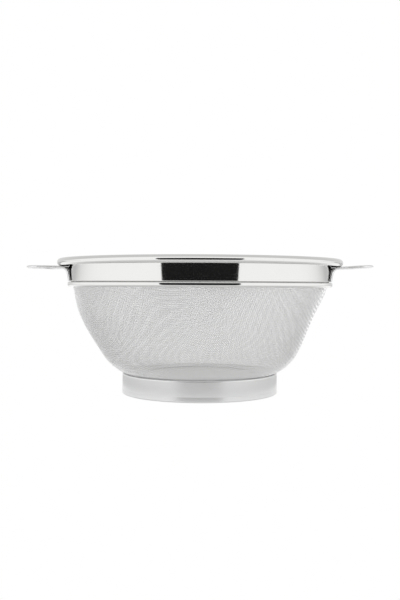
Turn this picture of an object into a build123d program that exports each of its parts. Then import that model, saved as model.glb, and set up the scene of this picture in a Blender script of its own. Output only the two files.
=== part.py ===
# Footed round strainer with a double wire-cloth bowl, millimetres.
# Origin: centre of the foot, on the surface it stands on. +Z up, ears along X.
import os
from math import asin, cos, degrees, radians, sin, tan

from build123d import *

# Rim and band: one spun sheet
SHEET = 0.6
RIM_RADIUS = 120.0
RIM_TOP_Z = 112.6
RIM_SHOULDER = 2.9  # bend of the sheet's middle, over the nose
RIM_TUCK = 2.5  # the same, under the nose
RIM_INNER_BEND = 1.6
RIM_EDGE_GAP = 0.3  # between the rolled-in edge and the band
BAND_RADIUS = 108.9  # outside, at the bead
BAND_SEAT_Z = 93.7
BAND_LEAN = 6.5  # degrees outward from upright
CORE_WIRE = 4.4
CORE_WIRE_RING = 116.5

# Bead that closes the band's lower edge
BEAD_RADIUS = 111.4
BEAD_TOP_Z = 93.3
BEAD_HEIGHT = 3.9
BEAD_MOUTH = 107.1
BEAD_TOP_BEND = 0.7
BEAD_LOWER_BEND = 1.6

# Wire cloths, each as thick as two of its wires
COARSE_CLOTH = 0.8
FINE_CLOTH = 0.4
FIT_GAP = 0.05
CLOTH_TOP_Z = 101.0
FLOOR_Z = 15.3
FLOOR_RADIUS = 54.4
# radius and turn, in degrees, of each arc of the bowl's outer face, from the floor to the band
BOWL_ARCS = ((25.5, 23.7), (38.3, 36.1), (298.0, 8.8), (103.0, 9.7), (6.0, -16.9), (4.7, 22.1))

# Collar that backs the cloth edges
COLLAR_SHEET = 0.5
COLLAR_LOW_Z = 95.0
COLLAR_TOP_Z = 101.9
COLLAR_BEND = 0.5

# Foot
FOOT_RADIUS = 65.6
FOOT_SHEET = 0.7
FOOT_FLARE = 3.0  # degrees outward from upright, below FOOT_FLARE_Z
FOOT_HEM = 4.0
FOOT_HEM_BEND = 0.5
FOOT_SOLE = 0.5
FOOT_TOP_BEND = 0.9
FOOT_FLARE_Z = 4.2
FLANGE_INNER = 44.0
RETAINER_INNER = 45.5
RETAINER_SHEET = 0.8
RETAINER_LIP = 11.0  # degrees of the bowl's first arc that its edge follows
RETAINER_EDGE = 0.3

# Ears
EAR_SHEET = 1.8
EAR_REACH = 145.6
EAR_BEND = 6.5
EAR_MIDDLE_Z = 105.5
TAB_RADIUS = 110.1
TAB_FOOT_Z = 94.2
TAB_LEAN = 10.0  # degrees outward from upright
NECK_WIDTH = 60.0
HEAD_WIDTH = 76.0
HEAD_DEPTH = 30.0
HEAD_BLEND = 5.0
SLOT_LENGTH = 44.0
SLOT_WIDTH = 9.0
EDGE_ROUND = 0.85
CROSS_EDGE = 2.2  # shorter edges run across the sheet, and stay sharp
LEFT_LIFT = 0.0  # degrees that each ear rises outward
RIGHT_LIFT = 3.0

# Resistance welds
NUGGET = 4.0
PIERCING = 16.0  # length of the cutters that open the cloth edges for the collar's nuggets
EAR_WELDS = 3
EAR_WELD_Z = 97.2
EAR_WELD_STEP = 10.0  # degrees between neighbours
COLLAR_WELDS = 12
COLLAR_WELD_Z = 98.0
FOOT_WELDS = 8
FOOT_WELD_RADIUS = 49.5

OUT = "parts"
os.makedirs(OUT, exist_ok=True)


def write(part, name):
    """Label a finished piece and write its STEP file."""
    part.label = name
    export_step(part, f"{OUT}/{name}.step")


def band_face(z, depth=0.0):
    """Radius of the leaning band at height z, depth inside its outer face."""
    return BAND_RADIUS + (z - BAND_SEAT_Z) * tan(radians(BAND_LEAN)) - depth / cos(radians(BAND_LEAN))


# ---------------------------------------------------------------- rim and band
half = SHEET / 2
bead_low_z = BEAD_TOP_Z - BEAD_HEIGHT
band_foot_z = bead_low_z + SHEET + FIT_GAP
rim_mid_top = RIM_TOP_Z - half
rim_mid_under = rim_mid_top - RIM_SHOULDER - RIM_TUCK
band_head_z = rim_mid_top - RIM_INNER_BEND * (1 - sin(radians(BAND_LEAN)))

with BuildPart() as rim_band:
    with BuildSketch(Plane.XZ):
        with BuildLine():
            wall = Line(
                (band_face(band_foot_z, half), band_foot_z),
                (band_face(band_head_z, half), band_head_z),
            )
            turn = JernArc(wall @ 1, wall % 1, RIM_INNER_BEND, BAND_LEAN - 90)
            top = Line(turn @ 1, (RIM_RADIUS - half - RIM_SHOULDER, rim_mid_top))
            shoulder = JernArc(top @ 1, top % 1, RIM_SHOULDER, -90)
            tuck = JernArc(shoulder @ 1, shoulder % 1, RIM_TUCK, -90)
            Line(tuck @ 1, (band_face(rim_mid_under) + RIM_EDGE_GAP, rim_mid_under))
        trace(line_width=SHEET)
    revolve(axis=Axis.Z)
write(rim_band.part, "rim_band")

# wire ring that the rim is rolled over
with BuildPart() as rim_core_wire:
    with BuildSketch(Plane.XZ):
        with Locations((CORE_WIRE_RING, (rim_mid_top + rim_mid_under) / 2)):
            Circle(CORE_WIRE / 2)
    revolve(axis=Axis.Z)
write(rim_core_wire.part, "rim_core_wire")

# ------------------------------------------------------------------------ bead
with BuildPart() as clamp_ring:
    with BuildSketch(Plane.XZ):
        with BuildLine():
            FilletPolyline(
                (band_face(BEAD_TOP_Z) + FIT_GAP, BEAD_TOP_Z - half),
                (BEAD_RADIUS - half, BEAD_TOP_Z - half),
                (BEAD_RADIUS - half, bead_low_z + half),
                (BEAD_MOUTH, bead_low_z + half),
                radius=[BEAD_TOP_BEND, BEAD_LOWER_BEND],
            )
        trace(line_width=SHEET)
    revolve(axis=Axis.Z)
write(clamp_ring.part, "clamp_ring")


# ----------------------------------------------------------------- wire cloths
def cloth_section(depth, thickness):
    """Half section of a cloth whose outer face lies depth inside the bowl's outer face."""
    inset = depth + thickness / 2
    with BuildSketch(Plane.XZ) as section:
        with BuildLine():
            step = Line((0.0, FLOOR_Z + inset), (FLOOR_RADIUS, FLOOR_Z + inset))
            for radius, angle in BOWL_ARCS:
                side = radius - inset if angle > 0 else radius + inset
                step = JernArc(step @ 1, step % 1, side, angle)
            rise = (CLOTH_TOP_Z - (step @ 1).Y) / cos(radians(BAND_LEAN))
            Line(step @ 1, (step @ 1) + (step % 1) * rise)
        trace(line_width=thickness)
    return section.sketch


# the two cloths, pierced where the welds pass through them
with BuildPart() as weld_sites:
    with Locations(Plane.XY.offset(COLLAR_WELD_Z)):
        with PolarLocations(band_face(COLLAR_WELD_Z), COLLAR_WELDS):
            Cylinder(NUGGET / 2, PIERCING, rotation=(0, 90, 0))
    with Locations(Plane.XY.offset(FLOOR_Z)):
        with PolarLocations(FOOT_WELD_RADIUS, FOOT_WELDS):
            Cylinder(NUGGET / 2, NUGGET)

for name, depth, thickness in (
    ("outer_mesh_bowl", 0.0, COARSE_CLOTH),
    ("inner_mesh_bowl", COARSE_CLOTH + FIT_GAP, FINE_CLOTH),
):
    with BuildPart() as cloth_bowl:
        add(cloth_section(depth, thickness))
        revolve(axis=Axis.Z)
        add(weld_sites.part, mode=Mode.SUBTRACT)
    write(cloth_bowl.part, name)

# ---------------------------------------------------------------- inner collar
cloth_stack = COARSE_CLOTH + FINE_CLOTH + 3 * FIT_GAP
collar_depth = SHEET + cloth_stack + COLLAR_SHEET / 2
collar_mid_z = COLLAR_TOP_Z - COLLAR_SHEET / 2
collar_turn_z = collar_mid_z - COLLAR_BEND * (1 - sin(radians(BAND_LEAN)))
with BuildPart() as inner_collar:
    with BuildSketch(Plane.XZ):
        with BuildLine():
            hoop = Line(
                (band_face(COLLAR_LOW_Z, collar_depth), COLLAR_LOW_Z),
                (band_face(collar_turn_z, collar_depth), collar_turn_z),
            )
            lip = JernArc(hoop @ 1, hoop % 1, COLLAR_BEND, BAND_LEAN - 90)
            Line(lip @ 1, (band_face(COLLAR_TOP_Z - COLLAR_SHEET, SHEET + FIT_GAP), collar_mid_z))
        trace(line_width=COLLAR_SHEET)
    revolve(axis=Axis.Z)
write(inner_collar.part, "inner_collar")

# ------------------------------------------------------------------------ foot
wall_radius = FOOT_RADIUS - FOOT_SHEET / 2
flange_z = FLOOR_Z - FIT_GAP - FOOT_SHEET / 2
flange_bend = BOWL_ARCS[0][0] + FIT_GAP + FOOT_SHEET / 2
flange_turn = degrees(asin((wall_radius - FLOOR_RADIUS - FOOT_TOP_BEND) / (flange_bend + FOOT_TOP_BEND)))
hem_z = FOOT_HEM_BEND + FOOT_SHEET / 2
flare = radians(FOOT_FLARE)
flare_drop = FOOT_FLARE_Z - hem_z - FOOT_HEM_BEND * sin(flare)
with BuildPart() as foot_ring:
    with BuildSketch(Plane.XZ):
        with BuildLine():
            flange = Line((FLANGE_INNER, flange_z), (FLOOR_RADIUS, flange_z))
            seat = JernArc(flange @ 1, flange % 1, flange_bend, flange_turn)
            corner = JernArc(seat @ 1, seat % 1, FOOT_TOP_BEND, -90 - flange_turn)
            skirt = Line(corner @ 1, (wall_radius, FOOT_FLARE_Z))
            flared = Line(skirt @ 1, (wall_radius + flare_drop * tan(flare), FOOT_FLARE_Z - flare_drop))
            hem = JernArc(flared @ 1, flared % 1, FOOT_HEM_BEND, -90 - FOOT_FLARE)
            sole = Line(hem @ 1, (hem @ 1) + Vector(-FOOT_SOLE, 0))
            fold = JernArc(sole @ 1, (-1, 0), FOOT_HEM_BEND, -90)
            Line(fold @ 1, (fold @ 1) + Vector(0, FOOT_HEM))
        trace(line_width=FOOT_SHEET)
    revolve(axis=Axis.Z)
write(foot_ring.part, "foot_ring")

# ring inside the bowl that clamps both cloths down on the foot's flange
retainer_low_z = FLOOR_Z + cloth_stack - FIT_GAP
retainer_mid_z = retainer_low_z + RETAINER_SHEET / 2
with BuildPart() as foot_retaining_ring:
    with BuildSketch(Plane.XZ) as retainer_section:
        with BuildLine():
            plate = Line((RETAINER_INNER, retainer_mid_z), (FLOOR_RADIUS, retainer_mid_z))
            JernArc(plate @ 1, plate % 1, BOWL_ARCS[0][0] - (retainer_mid_z - FLOOR_Z), RETAINER_LIP)
        trace(line_width=RETAINER_SHEET)
        fillet(retainer_section.vertices().group_by(Axis.X)[0], RETAINER_EDGE)
        fillet(retainer_section.vertices().sort_by(Axis.X)[-2:], RETAINER_EDGE)
    revolve(axis=Axis.Z)
write(foot_retaining_ring.part, "foot_retaining_ring")


# ------------------------------------------------------------------------ ears
def ear(lift):
    """Ear on the +X side: a plate that rises by lift degrees, flanged down onto the round band."""
    bend_rise = EAR_BEND * (cos(radians(lift)) - sin(radians(TAB_LEAN)))
    bend_z = EAR_MIDDLE_Z - bend_rise
    bend_radius = TAB_RADIUS + (bend_z - TAB_FOOT_Z) * tan(radians(TAB_LEAN))
    head_middle = EAR_REACH - HEAD_DEPTH / 2
    with BuildPart() as body:
        with BuildSketch(Plane.XZ):
            with BuildLine():
                tab = Line((TAB_RADIUS, TAB_FOOT_Z), (bend_radius, bend_z))
                bend = JernArc(tab @ 1, tab % 1, EAR_BEND, TAB_LEAN + lift - 90)
                Line(bend @ 1, (bend @ 1) + (bend % 1) * HEAD_WIDTH)
            trace(line_width=EAR_SHEET)
        revolve(axis=Axis.Z)
        with BuildSketch() as outline:
            with Locations((head_middle, 0)):
                Ellipse(HEAD_DEPTH / 2, HEAD_WIDTH / 2)
                Rectangle(head_middle, NECK_WIDTH, align=(Align.MAX, Align.CENTER))
            fillet(outline.vertices().group_by(Axis.X)[1], HEAD_BLEND)
            with Locations((head_middle, 0)):
                SlotOverall(SLOT_LENGTH, SLOT_WIDTH, rotation=90, mode=Mode.SUBTRACT)
        extrude(amount=RIM_TOP_Z + EAR_REACH, mode=Mode.INTERSECT)
        rims = body.edges().filter_by(lambda e: e.center().X > bend_radius and e.length > CROSS_EDGE)
        fillet(rims, EDGE_ROUND)
    return body.part


# ----------------------------------------------------------------------- welds
def radial_welds(inner, outer, z, turns, joined):
    """Nuggets along the radius that fill the space between the sheets they join."""
    with BuildPart() as nuggets:
        for turn in turns:
            with Locations(Location((0, 0, z), (0, 0, turn)) * Location(((inner + outer) / 2, 0, 0))):
                Cylinder(NUGGET / 2, outer - inner, rotation=(0, 90, 0))
        for sheet in joined:
            add(sheet, mode=Mode.SUBTRACT)
    return nuggets.part


band_middle = band_face(EAR_WELD_Z, half)
tab_middle = TAB_RADIUS + (EAR_WELD_Z - TAB_FOOT_Z) * tan(radians(TAB_LEAN))
ear_turns = [(index - (EAR_WELDS - 1) / 2) * EAR_WELD_STEP for index in range(EAR_WELDS)]
for side, lift, heading in (("right", RIGHT_LIFT, 0), ("left", LEFT_LIFT, 180)):
    plate = ear(lift)
    nuggets = radial_welds(band_middle, tab_middle, EAR_WELD_Z, ear_turns, (rim_band.part, plate))
    write(plate.rotate(Axis.Z, heading), f"{side}_handle")
    write(nuggets.rotate(Axis.Z, heading), f"{side}_handle_welds")

collar_turns = [index * 360 / COLLAR_WELDS for index in range(COLLAR_WELDS)]
collar_nuggets = radial_welds(
    band_face(COLLAR_WELD_Z, collar_depth),
    band_face(COLLAR_WELD_Z, half),
    COLLAR_WELD_Z,
    collar_turns,
    (rim_band.part, inner_collar.part),
)
write(collar_nuggets, "collar_welds")

with BuildPart() as foot_nuggets:
    with Locations((0, 0, flange_z)):
        with PolarLocations(FOOT_WELD_RADIUS, FOOT_WELDS):
            Cylinder(
                NUGGET / 2,
                retainer_mid_z - flange_z,
                align=(Align.CENTER, Align.CENTER, Align.MIN),
            )
    add(foot_ring.part, mode=Mode.SUBTRACT)
    add(foot_retaining_ring.part, mode=Mode.SUBTRACT)
write(foot_nuggets.part, "foot_welds")
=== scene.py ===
import math

import bpy
import numpy as np
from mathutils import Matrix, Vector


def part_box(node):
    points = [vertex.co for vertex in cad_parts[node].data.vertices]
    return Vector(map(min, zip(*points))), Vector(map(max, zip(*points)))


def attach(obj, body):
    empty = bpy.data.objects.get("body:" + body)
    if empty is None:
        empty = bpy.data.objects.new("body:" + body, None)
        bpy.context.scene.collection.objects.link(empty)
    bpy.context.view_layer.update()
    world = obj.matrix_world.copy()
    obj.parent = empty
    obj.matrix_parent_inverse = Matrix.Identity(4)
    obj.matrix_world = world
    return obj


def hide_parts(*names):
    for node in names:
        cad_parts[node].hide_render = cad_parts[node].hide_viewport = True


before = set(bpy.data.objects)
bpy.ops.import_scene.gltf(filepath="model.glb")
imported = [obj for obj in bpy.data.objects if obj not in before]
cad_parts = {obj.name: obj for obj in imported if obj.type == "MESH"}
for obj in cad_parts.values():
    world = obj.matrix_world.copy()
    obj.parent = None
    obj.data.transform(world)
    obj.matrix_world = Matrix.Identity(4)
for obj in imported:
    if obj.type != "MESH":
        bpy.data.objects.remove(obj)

MM = 0.001
bpy.context.view_layer.update()

# --------------------------------------------------------------- places, from the frame
RIM_LOW, RIM_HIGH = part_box("rim_band")
BEAD_LOW, BEAD_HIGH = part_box("clamp_ring")
BOWL_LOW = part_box("outer_mesh_bowl")[0]
RETAINER_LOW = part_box("foot_retaining_ring")[0]
COLLAR_LOW, COLLAR_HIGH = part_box("inner_collar")

# ------------------------------------ sizes, in millimetres, and angles, in degrees
SHEET = 0.6
RIM_SHOULDER = 2.9
RIM_TUCK = 2.5
RIM_INNER_BEND = 1.6
RIM_END_GAP = 0.3  # between the rim's turned-in end and the band
BAND_LEAN = 6.5
BAND_RADIUS = 108.9
BAND_SEAT_Z = 93.7
BEAD_TOP_BEND = 0.7
BEAD_LOWER_BEND = 1.6
BEAD_MOUTH = 107.1
NOTCH_HEIGHT = 0.9  # rounded-in lower edge of the band's face, over the bead
NOTCH_DEPTH = 0.5
NOTCH_LOOPS_BELOW = 0.3  # fine loops in the band, from this far under the bead's top
NOTCH_LOOPS_HIGH = 1.9
NOTCH_LOOP_STEP = 0.06
BAND_FOOT_LOOP = 0.5
COLLAR_SHEET = 0.5
COLLAR_BEND = 0.5
FOOT_SHEET = 0.7
FOOT_TOP_BEND = 0.9
FOOT_RADIUS = 65.6
FOOT_FLARE = 3.0
FOOT_FLARE_Z = 4.2
FOOT_HEM = 4.0
FOOT_HEM_BEND = 0.5
FOOT_SOLE = 0.5
FLANGE_INNER = 44.0
RETAINER_INNER = 45.5
RETAINER_SHEET = 0.8
RETAINER_LIP = 11.0
FLOOR_RADIUS = 54.4
# bend and turn of each arc of the bowl, from its floor up
BOWL_ARCS = ((25.5, 23.7), (38.3, 36.1), (298.0, 8.8), (103.0, 9.7), (6.0, -16.9), (4.7, 22.1))
COARSE_CLOTH = 0.8
FINE_CLOTH = 0.4
FIT_GAP = 0.05
CLOTH_END_Z = 100.0
LEAN_SIDE = -2.5  # how far the soft cloth has been pushed towards the left ear
LEAN_Z = 64.0  # height where it leans most, and how far above and below that it stops leaning
LEAN_ABOVE = 27.0
LEAN_BELOW = 36.0

COARSE_WIRE = 0.42
COARSE_PITCH = 1.78
COARSE_SIDES = 6
FINE_WIRE = 0.08
FINE_PITCH = 0.89
FINE_SIDES = 3
CLOTH_TURN = math.radians(35.0)  # how the cloth's wires are turned from the ears' line, in radians
MOST_TRIANGLES = 190000  # in one piece of cloth, so that it exports whole

LATHE_STEPS = 480
ARC_STEP = math.radians(7.5)
EDGE_POINTS = 9
SUPPORT = 0.1
PROFILE_STEP = 0.25
NET_ROUNDS = 8  # of Newton's method, at each crossing of the net
FLAT_DETERMINANT = 1e-9
SHORTEST_RUN = 3  # crossings


# ----------------------------------------------------------------------- sheet sections
class Strip:
    """Middle line of a bent sheet, drawn as radius and height in millimetres."""

    def __init__(self, radius, height, heading):
        self.points = [(radius, height)]
        self.headings = [math.radians(heading)]

    def line(self, length):
        """Straight run, with loops near its ends that keep its shading flat."""
        radius, height = self.points[-1]
        heading = self.headings[-1]
        near = min(SUPPORT, length / 4)
        for reach in (near, length / 2, length - near, length):
            self.points.append((radius + reach * math.cos(heading), height + reach * math.sin(heading)))
            self.headings.append(heading)
        return self

    def line_to(self, radius, height):
        """Straight run to a point, which sets a new heading."""
        start = self.points[-1]
        heading = math.atan2(height - start[1], radius - start[0])
        self.headings[-1] = (self.headings[-1] + heading) / 2 if len(self.points) > 1 else heading
        length = math.dist(start, (radius, height))
        saved = self.headings[-1]
        self.headings[-1] = heading
        count = len(self.points)
        self.line(length)
        self.headings[count - 1] = saved
        return self

    def arc(self, bend, turn):
        """Bend of the middle line; a positive turn, in degrees, goes left."""
        turn = math.radians(turn)
        steps = max(3, math.ceil(abs(turn) / ARC_STEP))
        side = math.copysign(1.0, turn)
        radius, height = self.points[-1]
        heading = self.headings[-1]
        centre = (radius - side * bend * math.sin(heading), height + side * bend * math.cos(heading))
        for step in range(1, steps + 1):
            angle = heading + turn * step / steps
            reach = (side * bend * math.sin(angle), side * bend * math.cos(angle))
            self.points.append((centre[0] + reach[0], centre[1] - reach[1]))
            self.headings.append(angle)
        return self

    def outline(self, thickness):
        """Closed outline of the sheet, with rounded edges."""
        half = thickness / 2
        left, right = [], []
        for (radius, height), heading in zip(self.points, self.headings):
            side = (-half * math.sin(heading), half * math.cos(heading))
            left.append((radius + side[0], height + side[1]))
            right.append((radius - side[0], height - side[1]))

        def cap(point, heading):
            return [
                (point[0] + half * math.cos(heading + turn), point[1] + half * math.sin(heading + turn))
                for turn in np.linspace(-math.pi / 2, math.pi / 2, EDGE_POINTS)[1:-1]
            ]

        last = cap(self.points[-1], self.headings[-1])
        first = cap(self.points[0], self.headings[0] + math.pi)
        return np.array(right + last + left[::-1] + first)


def band_face(height, depth=0.0):
    """Radius of the leaning band at a height, depth inside its outer face."""
    lean = math.radians(BAND_LEAN)
    return BAND_RADIUS + (height - BAND_SEAT_Z) * math.tan(lean) - depth / math.cos(lean)


def make_object(name, verts, faces, material):
    """Smooth mesh piece from arrays of corners and faces, in metres."""
    mesh = bpy.data.meshes.new(name)
    mesh.from_pydata(verts, [], faces)
    mesh.validate()
    mesh.shade_smooth()
    mesh.materials.append(material)
    piece = bpy.data.objects.new(name, mesh)
    bpy.context.collection.objects.link(piece)
    return piece


def lathe(name, outline, material):
    """Closed outline of radius and height, turned about the bowl's axis."""
    area = np.sum(outline[:, 0] * np.roll(outline[:, 1], -1) - np.roll(outline[:, 0], -1) * outline[:, 1])
    if area < 0:
        outline = outline[::-1]
    count = len(outline)
    turns = np.arange(LATHE_STEPS) * 2 * math.pi / LATHE_STEPS
    verts = np.empty((LATHE_STEPS, count, 3))
    verts[:, :, 0] = np.cos(turns)[:, None] * outline[:, 0]
    verts[:, :, 1] = np.sin(turns)[:, None] * outline[:, 0]
    verts[:, :, 2] = outline[:, 1]
    ring = np.arange(LATHE_STEPS)[:, None] * count
    after = np.roll(ring, -1, axis=0)
    spot = np.arange(count)[None, :]
    ahead = np.roll(spot, -1, axis=1)
    faces = np.stack([ring + spot, after + spot, after + ahead, ring + ahead], axis=-1).reshape(-1, 4)
    return make_object(name, (verts.reshape(-1, 3) * MM).tolist(), faces.tolist(), material)


# --------------------------------------------------------------------------- materials
def new_material(name):
    """Material, its node tree and its shader."""
    material = bpy.data.materials.new(name)
    material.use_nodes = True
    tree = material.node_tree
    return material, tree, tree.nodes["Principled BSDF"]


def add_node(tree, kind, **settings):
    """Shader node whose settings are its inputs' values or its own properties."""
    node = tree.nodes.new(kind)
    for key, value in settings.items():
        if key in node.inputs:
            node.inputs[key].default_value = value
        else:
            setattr(node, key, value)
    return node


def calculate(tree, operation, *values):
    """Output of a math node, whose values are sockets or numbers."""
    node = add_node(tree, "ShaderNodeMath", operation=operation)
    for slot, value in enumerate(values):
        if isinstance(value, (int, float)):
            node.inputs[slot].default_value = value
        else:
            tree.links.new(value, node.inputs[slot])
    return node.outputs[0]


def round_coordinates(tree, around, across):
    """Coordinates that run round the axis: angle times around, and radius and height times across."""
    place = add_node(tree, "ShaderNodeTexCoord")
    split = add_node(tree, "ShaderNodeSeparateXYZ")
    tree.links.new(place.outputs["Object"], split.inputs[0])
    angle = calculate(tree, "ARCTAN2", split.outputs["Y"], split.outputs["X"])
    square = add_node(tree, "ShaderNodeVectorMath", operation="MULTIPLY")
    square.inputs[1].default_value = (1, 1, 0)
    tree.links.new(place.outputs["Object"], square.inputs[0])
    length = add_node(tree, "ShaderNodeVectorMath", operation="LENGTH")
    tree.links.new(square.outputs[0], length.inputs[0])
    joined = add_node(tree, "ShaderNodeCombineXYZ")
    measures = ((angle, around), (length.outputs["Value"], across), (split.outputs["Z"], across))
    for slot, (source, scale) in enumerate(measures):
        tree.links.new(calculate(tree, "MULTIPLY", source, scale), joined.inputs[slot])
    return joined.outputs[0]


def steel(name, colour, tint, rough, rough_spread, bump, across, around=6.0):
    """Steel whose fine marks run round the axis: polishing lines, or a satin grain.

    The bump is in metres; around and across say how fine the marks are along and across the turn."""
    material, tree, shader = new_material(name)
    shader.inputs["Metallic"].default_value = 1.0
    coordinates = round_coordinates(tree, around, across)
    grain = add_node(tree, "ShaderNodeTexNoise", Scale=1.0, Detail=6.0, Roughness=0.65)
    tree.links.new(coordinates, grain.inputs["Vector"])
    haze = add_node(tree, "ShaderNodeTexNoise", Scale=38.0, Detail=3.0, Roughness=0.5)
    place = add_node(tree, "ShaderNodeTexCoord")
    tree.links.new(place.outputs["Object"], haze.inputs["Vector"])

    shade = add_node(tree, "ShaderNodeMix", data_type="RGBA")
    shade.inputs["A"].default_value = (*colour, 1.0)
    shade.inputs["B"].default_value = (*tint, 1.0)
    tree.links.new(haze.outputs["Fac"], shade.inputs["Factor"])
    tree.links.new(shade.outputs["Result"], shader.inputs["Base Color"])

    spread = add_node(tree, "ShaderNodeMapRange")
    spread.inputs["From Min"].default_value = 0.3
    spread.inputs["From Max"].default_value = 0.7
    spread.inputs["To Min"].default_value = rough - rough_spread
    spread.inputs["To Max"].default_value = rough + rough_spread
    tree.links.new(grain.outputs["Fac"], spread.inputs["Value"])
    tree.links.new(spread.outputs["Result"], shader.inputs["Roughness"])

    relief = add_node(tree, "ShaderNodeBump")
    relief.inputs["Strength"].default_value = 1.0
    relief.inputs["Distance"].default_value = bump
    tree.links.new(grain.outputs["Fac"], relief.inputs["Height"])
    tree.links.new(relief.outputs["Normal"], shader.inputs["Normal"])
    return material


def paint_crown_light(material, valley_shade):
    """Painted highlight and shade on the weave: the wire keeps its own colour on the crowns, and is
    painted darker, towards valley_shade, where it passes under.
    """
    tree = material.node_tree
    shader = tree.nodes["Principled BSDF"]
    crown = add_node(tree, "ShaderNodeAttribute", attribute_name="crown")
    bright = shader.inputs["Base Color"].links[0].from_socket
    shade = add_node(tree, "ShaderNodeMix", data_type="RGBA")
    shade.inputs["A"].default_value = (*valley_shade, 1.0)
    tree.links.new(bright, shade.inputs["B"])
    tree.links.new(crown.outputs["Fac"], shade.inputs["Factor"])
    tree.links.new(shade.outputs["Result"], shader.inputs["Base Color"])


POLISHED = steel(
    "polished_steel", (0.71, 0.71, 0.70), (0.68, 0.68, 0.67),
    rough=0.06, rough_spread=0.02, bump=0.4e-6, across=9000,
)
SATIN = steel(
    "satin_steel", (0.74, 0.74, 0.74), (0.70, 0.70, 0.70),
    rough=0.24, rough_spread=0.04, bump=3e-6, across=7000,
)
EAR_STEEL = steel(
    "ear_steel", (0.72, 0.72, 0.72), (0.68, 0.68, 0.68),
    rough=0.33, rough_spread=0.04, bump=2e-6, across=4000, around=10.0,
)
# both wires are brighter than real steel, in place of light that this studio doesn't have
WIRE_STEEL = steel(
    "coarse_wire", (0.98, 0.98, 0.98), (0.93, 0.93, 0.93),
    rough=0.24, rough_spread=0.04, bump=1e-6, across=900,
)
# painted highlight on the coarse wire's crowns, and painted shade where it passes under
paint_crown_light(WIRE_STEEL, (0.60, 0.60, 0.60))
FINE_WIRE_STEEL = steel(
    "fine_wire", (0.90, 0.90, 0.89), (0.85, 0.85, 0.84),
    rough=0.25, rough_spread=0.04, bump=1e-6, across=900,
)
DRAWN_STEEL = steel(
    "drawn_wire", (0.55, 0.55, 0.55), (0.5, 0.5, 0.5),
    rough=0.4, rough_spread=0.05, bump=2e-6, across=3000,
)
WELD_STEEL = steel(
    "weld_nugget", (0.48, 0.46, 0.44), (0.36, 0.35, 0.35),
    rough=0.45, rough_spread=0.1, bump=8e-6, across=2000,
)


# ------------------------------------------------------------------- rim, band and bead
def finish_piece(piece, slot, *nodes):
    """Tie a piece to the body and hide the CAD nodes that it stands for; slot is not used."""
    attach(piece, "root")
    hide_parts(*nodes)


rim_radius = RIM_HIGH.x / MM
rim_top = RIM_HIGH.z / MM
band_foot = RIM_LOW.z / MM
half = SHEET / 2
rim_mid = rim_top - half
under_mid = rim_mid - RIM_SHOULDER - RIM_TUCK
band_head = rim_mid - RIM_INNER_BEND * (1 - math.sin(math.radians(BAND_LEAN)))

rim = Strip(band_face(band_foot, half), band_foot, 90 - BAND_LEAN)
loops_low = BEAD_HIGH.z / MM - NOTCH_LOOPS_BELOW
notch_loops = np.arange(loops_low, loops_low + NOTCH_LOOPS_HIGH, NOTCH_LOOP_STEP)
for height in (band_foot + BAND_FOOT_LOOP, *notch_loops):
    rim.points.append((band_face(height, half), height))
    rim.headings.append(rim.headings[0])
rim.line_to(band_face(band_head, half), band_head)
rim.arc(RIM_INNER_BEND, BAND_LEAN - 90)
rim.line(rim_radius - half - RIM_SHOULDER - rim.points[-1][0])
rim.arc(RIM_SHOULDER, -90).arc(RIM_TUCK, -90)
rim.line(rim.points[-1][0] - band_face(under_mid) - RIM_END_GAP)
rim_outline = rim.outline(SHEET)
notch_top = BEAD_HIGH.z / MM + NOTCH_HEIGHT
into_notch = np.clip((notch_top - rim_outline[:, 1]) / NOTCH_HEIGHT, 0, 1)
outer = rim_outline[:, 0] > band_face(rim_outline[:, 1]) - half
rim_outline[:, 0] -= np.where(outer, NOTCH_DEPTH * (1 - np.sqrt(1 - into_notch**2)), 0)
finish_piece(lathe("rim_and_band", rim_outline, POLISHED), "polished_sheet", "rim_band")

bead_top = BEAD_HIGH.z / MM
bead_low = BEAD_LOW.z / MM
bead_wall = BEAD_HIGH.x / MM - half
bead = Strip(band_face(bead_top) + FIT_GAP, bead_top - half, 0)
bead.line(bead_wall - BEAD_TOP_BEND - bead.points[0][0])
bead.arc(BEAD_TOP_BEND, -90)
bead.line(bead_top - bead_low - SHEET - BEAD_TOP_BEND - BEAD_LOWER_BEND)
bead.arc(BEAD_LOWER_BEND, -90)
bead.line(bead.points[-1][0] - BEAD_MOUTH)
finish_piece(lathe("clamp_bead", bead.outline(SHEET), POLISHED), "polished_sheet", "clamp_ring")

cloth_stack = COARSE_CLOTH + FINE_CLOTH + 3 * FIT_GAP
collar_depth = SHEET + cloth_stack + COLLAR_SHEET / 2
collar_low = COLLAR_LOW.z / MM
collar_mid = COLLAR_HIGH.z / MM - COLLAR_SHEET / 2
collar_turn = collar_mid - COLLAR_BEND * (1 - math.sin(math.radians(BAND_LEAN)))
collar = Strip(band_face(collar_low, collar_depth), collar_low, 90 - BAND_LEAN)
collar.line_to(band_face(collar_turn, collar_depth), collar_turn)
collar.arc(COLLAR_BEND, BAND_LEAN - 90)
collar.line(band_face(collar_mid, SHEET + 2 * FIT_GAP) - collar.points[-1][0] - COLLAR_SHEET / 2)
finish_piece(lathe("cloth_collar", collar.outline(COLLAR_SHEET), SATIN), "satin_sheet", "inner_collar")

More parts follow.
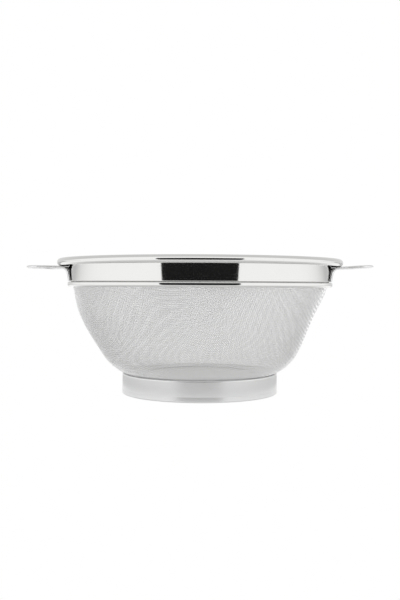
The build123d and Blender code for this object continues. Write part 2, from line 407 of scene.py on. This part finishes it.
# ------------------------------------------------------------------------------- foot
floor_z = BOWL_LOW.z / MM
foot_wall = FOOT_RADIUS - FOOT_SHEET / 2
flange_bend = BOWL_ARCS[0][0] + FIT_GAP + FOOT_SHEET / 2
flange_turn = math.degrees(
    math.asin((foot_wall - FLOOR_RADIUS - FOOT_TOP_BEND) / (flange_bend + FOOT_TOP_BEND))
)
hem_z = FOOT_HEM_BEND + FOOT_SHEET / 2
flare = math.radians(FOOT_FLARE)
flare_drop = FOOT_FLARE_Z - hem_z - FOOT_HEM_BEND * math.sin(flare)
foot = Strip(FLANGE_INNER, floor_z - FIT_GAP - FOOT_SHEET / 2, 0)
foot.line(FLOOR_RADIUS - FLANGE_INNER)
foot.arc(flange_bend, flange_turn).arc(FOOT_TOP_BEND, -90 - flange_turn)
foot.line(foot.points[-1][1] - FOOT_FLARE_Z)
foot.line_to(foot_wall + flare_drop * math.tan(flare), FOOT_FLARE_Z - flare_drop)
foot.arc(FOOT_HEM_BEND, -90 - FOOT_FLARE)
foot.line(FOOT_SOLE).arc(FOOT_HEM_BEND, -90).line(FOOT_HEM)
finish_piece(lathe("foot_skirt", foot.outline(FOOT_SHEET), SATIN), "satin_sheet", "foot_ring")

retainer_mid = RETAINER_LOW.z / MM + RETAINER_SHEET / 2
retainer = Strip(RETAINER_INNER, retainer_mid, 0)
retainer.line(FLOOR_RADIUS - RETAINER_INNER)
retainer.arc(BOWL_ARCS[0][0] - (retainer_mid - floor_z), RETAINER_LIP)
finish_piece(
    lathe("foot_retainer", retainer.outline(RETAINER_SHEET), SATIN), "satin_sheet", "foot_retaining_ring"
)


# --------------------------------------------------------------------------- wire cloth
def bowl_profile(inset):
    """Arc length, radius, height and heading down the bowl, inset from its outer face."""
    path = [(0.0, floor_z + inset, 0.0)]

    def walk(length, bend, side):
        count = max(2, int(length / PROFILE_STEP))
        for _ in range(count):
            radius, height, heading = path[-1]
            piece = length / count
            turn = side * piece / bend if bend else 0.0
            path.append(
                (
                    radius + piece * math.cos(heading + turn / 2),
                    height + piece * math.sin(heading + turn / 2),
                    heading + turn,
                )
            )

    walk(FLOOR_RADIUS, None, 0)
    for bend, angle in BOWL_ARCS:
        side = math.copysign(1, angle)
        real = bend - side * inset
        walk(real * abs(math.radians(angle)), real, side)
    walk(CLOTH_END_Z, None, 0)  # straight on, to well above the cloth's upper edge
    path = np.array(path)
    lengths = np.concatenate([[0], np.cumsum(np.hypot(np.diff(path[:, 0]), np.diff(path[:, 1])))])
    return lengths, path[:, 0], path[:, 1], path[:, 2]


def draped_net(profile, pitch):
    """Arc length and azimuth of each crossing in one quarter of a square net laid over the bowl.

    The wires keep their pitch along their length, as real cloth does, so the squares shear
    into diamonds between the two directions of the wires."""
    lengths, radii, heights, headings = profile
    end = np.interp(CLOTH_END_Z, heights[heights > heights[0]], lengths[heights > heights[0]])
    count = int(end / pitch) + 2
    along = np.full((count, count), np.nan)
    turn = np.full((count, count), np.nan)
    axis = np.arange(count) * pitch
    along[:, 0] = along[0, :] = axis
    turn[:, 0] = 0.0
    turn[0, :] = math.pi / 2

    def place(s, phi):
        r = np.interp(s, lengths, radii)
        return np.stack([r * np.cos(phi), r * np.sin(phi), np.interp(s, lengths, heights)], axis=-1)

    for diagonal in range(2, 2 * count - 1):
        i = np.arange(max(1, diagonal - count + 1), min(count - 1, diagonal - 1) + 1)
        j = diagonal - i
        flat = np.hypot(i, j) * pitch
        known = np.isfinite(along[i - 1, j]) & np.isfinite(along[i, j - 1])
        i, j, flat = i[known], j[known], flat[known]
        if len(i) == 0:
            break
        left = place(along[i - 1, j], turn[i - 1, j])
        low = place(along[i, j - 1], turn[i, j - 1])
        s = along[i - 1, j] + along[i, j - 1] - along[i - 1, j - 1]
        phi = turn[i - 1, j] + turn[i, j - 1] - turn[i - 1, j - 1]
        planar = flat < FLOOR_RADIUS
        s = np.where(planar, flat, s)
        phi = np.where(planar, np.arctan2(j, i), phi)
        for _ in range(NET_ROUNDS):
            here = place(s, phi)
            slope = np.interp(s, lengths, headings)
            r = np.interp(s, lengths, radii)
            by_s = np.stack(
                [np.cos(slope) * np.cos(phi), np.cos(slope) * np.sin(phi), np.sin(slope)], axis=-1
            )
            by_phi = np.stack([-r * np.sin(phi), r * np.cos(phi), 0 * r], axis=-1)
            to_left, to_low = here - left, here - low
            f = (to_left**2).sum(-1) - pitch**2
            g = (to_low**2).sum(-1) - pitch**2
            a, b = 2 * (to_left * by_s).sum(-1), 2 * (to_left * by_phi).sum(-1)
            c, d = 2 * (to_low * by_s).sum(-1), 2 * (to_low * by_phi).sum(-1)
            det = a * d - b * c
            det = np.where(np.abs(det) < FLAT_DETERMINANT, np.nan, det)
            s = s - np.clip((d * f - b * g) / det, -pitch, pitch)
            phi = phi - (a * g - c * f) / det
        good = np.isfinite(s) & (s > 0) & (s < end + 2 * pitch) & (phi > 0) & (phi < math.pi / 2)
        along[i[good], j[good]] = s[good]
        turn[i[good], j[good]] = phi[good]
    return along, turn, end


def whole_net(profile, pitch, rotation):
    """Position and outward normal of every crossing, over all four quarters."""
    along, turn, end = draped_net(profile, pitch)
    count = len(along)
    index = np.arange(-count + 1, count)
    i, j = np.meshgrid(index, index, indexing="ij")
    s = along[abs(i), abs(j)]
    phi = turn[abs(i), abs(j)]
    phi = np.where(i < 0, math.pi - phi, phi)
    phi = np.where(j < 0, -phi, phi)
    inside = np.isfinite(s) & (s <= end)
    s = np.where(inside, s, 0.0)
    phi = np.where(inside, phi, 0.0) + rotation
    lengths, radii, heights, headings = profile
    r = np.interp(s, lengths, radii)
    slope = np.interp(s, lengths, headings)
    spots = np.stack([r * np.cos(phi), r * np.sin(phi), np.interp(s, lengths, heights)], axis=-1)
    away = spots[..., 2] - LEAN_Z
    away = np.clip(away / np.where(away > 0, LEAN_ABOVE, LEAN_BELOW), -1, 1)
    spots[..., 0] += LEAN_SIDE * np.cos(away * math.pi / 2) ** 2
    normals = np.stack([np.sin(slope) * np.cos(phi), np.sin(slope) * np.sin(phi), -np.cos(slope)], axis=-1)
    return spots, normals, inside, (i + j) % 2


def wires(spots, normals, inside, parity, lift, halfway):
    """Runs of samples along each wire of one direction: a list of (points, normals, crowns).

    The crown is 1 where a wire passes over another on the bowl's outside, and 0 where it passes under."""
    runs = []
    for row in range(spots.shape[1]):
        held = np.flatnonzero(inside[:, row])
        if len(held) < SHORTEST_RUN:
            continue
        for run in np.split(held, np.flatnonzero(np.diff(held) > 1) + 1):
            if len(run) < SHORTEST_RUN:
                continue
            side = np.where(parity[run, row] == 0, lift, -lift)
            point = spots[run, row]
            normal = normals[run, row]
            woven = point + normal * side[:, None]
            over = (side > 0).astype(float)
            if halfway:
                full = np.empty((2 * len(run) - 1, 3))
                full[::2] = woven
                full[1::2] = (point[1:] + point[:-1]) / 2
                facing = np.empty_like(full)
                facing[::2] = normal
                facing[1::2] = (normal[1:] + normal[:-1]) / 2
                crown = np.full(len(full), 0.5)
                crown[::2] = over
            else:
                full, facing, crown = woven, normal, over
            runs.append((full, facing, crown))
    return runs


def tube_pieces(label, runs, radius, sides, material, slot, node):
    """Tubes along the runs, joined into pieces of up to MOST_TRIANGLES."""
    groups, held = [[]], 0
    most_rings = MOST_TRIANGLES // (2 * sides)
    for run in runs:
        if held + len(run[0]) > most_rings:
            groups.append([])
            held = 0
        groups[-1].append(run)
        held += len(run[0])
    spin = np.arange(sides) * 2 * math.pi / sides
    for number, group in enumerate(groups, 1):
        verts, quads, caps, base = [], [], [], 0
        for point, normal, _ in group:
            tangent = np.gradient(point, axis=0)
            tangent /= np.linalg.norm(tangent, axis=1, keepdims=True)
            across = np.cross(tangent, normal)
            across /= np.linalg.norm(across, axis=1, keepdims=True)
            up = np.cross(across, tangent)
            ring = (
                point[:, None, :]
                + radius * np.cos(spin)[None, :, None] * up[:, None, :]
                + radius * np.sin(spin)[None, :, None] * across[:, None, :]
            )
            verts.append(ring.reshape(-1, 3))
            start = base + np.arange(len(point) - 1)[:, None] * sides
            spot = np.arange(sides)[None, :]
            ahead = np.roll(spot, -1, axis=1)
            quads.append(
                np.stack(
                    [start + spot, start + ahead, start + sides + ahead, start + sides + spot], axis=-1
                ).reshape(-1, 4)
            )
            last = base + (len(point) - 1) * sides
            caps.append([base + k for k in reversed(range(sides))])
            caps.append([last + k for k in range(sides)])
            base += len(point) * sides
        corners = np.concatenate(verts) * MM
        faces = np.concatenate(quads).tolist() + caps
        piece = make_object(f"{label}_{number}", corners.tolist(), faces, material)
        # crown values, which the wire's material turns into painted highlight and painted shade
        crowns = np.repeat(np.concatenate([crown for _, _, crown in group]), sides)
        crown_layer = piece.data.attributes.new("crown", "FLOAT", "POINT")
        crown_layer.data.foreach_set("value", crowns)
        finish_piece(piece, slot, node)


def cloth(label, inset, pitch, wire, sides, rotation, halfway, material, slot, node):
    """Woven cloth over the bowl: two directions of wires that pass over and under each other.

    Halfway adds a sample between each two crossings."""
    net = whole_net(bowl_profile(inset), pitch, rotation)
    spots, normals, inside, parity = net
    swapped = (spots.swapaxes(0, 1), normals.swapaxes(0, 1), inside.T, parity.T)
    lift = wire / 2
    tube_pieces(f"{label}_warp", wires(*net, lift, halfway), wire / 2, sides, material, slot, node)
    tube_pieces(f"{label}_weft", wires(*swapped, -lift, halfway), wire / 2, sides, material, slot, node)


cloth(
    "coarse_cloth", COARSE_CLOTH / 2, COARSE_PITCH, COARSE_WIRE, COARSE_SIDES, CLOTH_TURN, True,
    WIRE_STEEL, "coarse_cloth", "outer_mesh_bowl",
)
cloth(
    "fine_cloth", COARSE_CLOTH + FIT_GAP + FINE_CLOTH / 2, FINE_PITCH, FINE_WIRE, FINE_SIDES, CLOTH_TURN,
    False, FINE_WIRE_STEEL, "fine_cloth", "inner_mesh_bowl",
)

# ------------------------------------------------------------- CAD nodes that stay as built
for node, material in (
    ("left_handle", EAR_STEEL),
    ("right_handle", EAR_STEEL),
    ("rim_core_wire", DRAWN_STEEL),
    ("left_handle_welds", WELD_STEEL),
    ("right_handle_welds", WELD_STEEL),
    ("collar_welds", WELD_STEEL),
    ("foot_welds", WELD_STEEL),
):
    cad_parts[node].material_slots[0].material = material


# ---------------------------------------------------------------------------- the stage
def plain_material(name, shade):
    """Dull grey material for the stage."""
    material, _, shader = new_material(name)
    shader.inputs["Base Color"].default_value = (shade, shade, shade, 1)
    shader.inputs["Roughness"].default_value = 1.0
    shader.inputs["Specular IOR Level"].default_value = 0.0
    return material


def card(name, corners, material):
    """Studio card: it shows in the metal's reflections only."""
    mesh = bpy.data.meshes.new(name)
    mesh.from_pydata(corners, [], [(0, 1, 2, 3)])
    mesh.materials.append(material)
    piece = bpy.data.objects.new(name, mesh)
    bpy.context.collection.objects.link(piece)
    piece.visible_camera = False
    piece.visible_diffuse = False
    piece.visible_shadow = False
    return piece


def ramp(tree, value, start, end, low, high):
    """Smooth change from low to high while value runs from start to end."""
    node = tree.nodes.new("ShaderNodeMapRange")
    node.interpolation_type = "SMOOTHSTEP"
    for name, number in (("From Min", start), ("From Max", end), ("To Min", low), ("To Max", high)):
        node.inputs[name].default_value = number
    tree.links.new(value, node.inputs["Value"])
    return node.outputs["Result"]


# Pale floor that gives off light, in metres from the bowl's axis: a patch under the bowl, and more
# further out, which fades towards the back. A dark ring at the foot stands in for its contact shadow.
FLOOR_HALF = 6.0
FLOOR_DROP = 0.0005
FLOOR_GREY = 0.70
PATCH_EDGE = (0.085, 0.12)
PATCH_LIGHT = 0.3
OUTER_EDGE = (0.16, 0.36)
OUTER_LIGHT = (0.24, 1.0)
FRONT_TO_BACK = (-0.2, 1.7)
FRONT_LIGHT = 0.60
CONTACT_INSIDE = (0.0620, 0.0640)
CONTACT_OUTSIDE = (0.0640, 0.0680)

floor_material = plain_material("floor_pale", FLOOR_GREY)
tree = floor_material.node_tree
shader = tree.nodes["Principled BSDF"]
shader.inputs["Emission Color"].default_value = (1, 1, 1, 1)
place = add_node(tree, "ShaderNodeTexCoord")
split = add_node(tree, "ShaderNodeSeparateXYZ")
tree.links.new(place.outputs["Object"], split.inputs[0])
flat = add_node(tree, "ShaderNodeVectorMath", operation="LENGTH")
tree.links.new(place.outputs["Object"], flat.inputs[0])
from_axis = flat.outputs["Value"]
outer_light = calculate(
    tree, "MULTIPLY",
    ramp(tree, from_axis, *OUTER_EDGE, *OUTER_LIGHT),
    ramp(tree, split.outputs["Y"], *FRONT_TO_BACK, FRONT_LIGHT, 0.0),
)
glow = calculate(tree, "ADD", ramp(tree, from_axis, *PATCH_EDGE, PATCH_LIGHT, 0.0), outer_light)
off_the_foot = calculate(
    tree, "MAXIMUM",
    ramp(tree, from_axis, *CONTACT_INSIDE, 1.0, 0.0),
    ramp(tree, from_axis, *CONTACT_OUTSIDE, 0.0, 1.0),
)
tree.links.new(calculate(tree, "MULTIPLY", off_the_foot, glow), shader.inputs["Emission Strength"])
floor = card(
    "floor",
    [
        (-FLOOR_HALF, -FLOOR_HALF, 0), (FLOOR_HALF, -FLOOR_HALF, 0),
        (FLOOR_HALF, FLOOR_HALF, 0), (-FLOOR_HALF, FLOOR_HALF, 0),
    ],
    floor_material,
)
floor.location.z = -FLOOR_DROP

# dark strip on the floor in front of the bowl, wider further out, which turns upright behind the camera
CARD_NEAR, CARD_FAR, CARD_TOP = 0.31, 1.25, 0.55
CARD_NEAR_HALF, CARD_FAR_HALF = 0.15, 0.78
CARD_LIFT = 0.001
CARD_GREY = 0.012
dark = plain_material("dark_card", CARD_GREY)
card(
    "dark_card_low",
    [
        (-CARD_NEAR_HALF, -CARD_NEAR, CARD_LIFT), (-CARD_FAR_HALF, -CARD_FAR, CARD_LIFT),
        (CARD_FAR_HALF, -CARD_FAR, CARD_LIFT), (CARD_NEAR_HALF, -CARD_NEAR, CARD_LIFT),
    ],
    dark,
)
card(
    "dark_card_high",
    [
        (-CARD_FAR_HALF, -CARD_FAR, CARD_LIFT), (CARD_FAR_HALF, -CARD_FAR, CARD_LIFT),
        (CARD_FAR_HALF, -CARD_FAR, CARD_TOP), (-CARD_FAR_HALF, -CARD_FAR, CARD_TOP),
    ],
    dark,
)

scene = bpy.context.scene
scene.view_settings.view_transform = "Standard"
world = bpy.data.worlds.new("studio")
scene.world = world
world.use_nodes = True
# Reflections see a soft white surround, greyer above and behind the bowl, and the camera a plain
# white backdrop. The ceiling's edge is given as cosines of the angle from its middle.
STUDIO_LIGHT = 1.25
CEILING_LIGHT = 0.80
CEILING_MIDDLE = (0.0, 0.5, 0.866)
CEILING_EDGE = (0.30, 0.45)
tree = world.node_tree
place = add_node(tree, "ShaderNodeTexCoord")
facing = add_node(tree, "ShaderNodeVectorMath", operation="DOT_PRODUCT")
facing.inputs[1].default_value = CEILING_MIDDLE
tree.links.new(place.outputs["Generated"], facing.inputs[0])
background = tree.nodes["Background"]
background.inputs["Color"].default_value = (1, 1, 1, 1)
light = ramp(tree, facing.outputs["Value"], *CEILING_EDGE, STUDIO_LIGHT, CEILING_LIGHT)
tree.links.new(light, background.inputs["Strength"])
backdrop = add_node(tree, "ShaderNodeBackground")
backdrop.inputs["Color"].default_value = (1, 1, 1, 1)
seen = add_node(tree, "ShaderNodeLightPath")
choice = add_node(tree, "ShaderNodeMixShader")
tree.links.new(seen.outputs["Is Camera Ray"], choice.inputs["Fac"])
tree.links.new(background.outputs[0], choice.inputs[1])
tree.links.new(backdrop.outputs[0], choice.inputs[2])
tree.links.new(choice.outputs[0], tree.nodes["World Output"].inputs["Surface"])

# --------------------------------------------------------------------------- the camera
CAMERA_DISTANCE = 0.653
CAMERA_HEIGHT = 0.091
CAMERA_PITCH = 1.12
CAMERA_ROLL = -0.25
CAMERA_LENS = 45.9
CAMERA_CLIP = 0.01
camera_data = bpy.data.cameras.new("camera")
camera_data.lens = CAMERA_LENS
camera_data.clip_start = CAMERA_CLIP
camera = bpy.data.objects.new("camera", camera_data)
camera.location = (0, -CAMERA_DISTANCE, CAMERA_HEIGHT)
camera.rotation_euler = (math.radians(90 - CAMERA_PITCH), math.radians(CAMERA_ROLL), 0)
bpy.context.collection.objects.link(camera)
scene.camera = camera

bpy.context.view_layer.update()
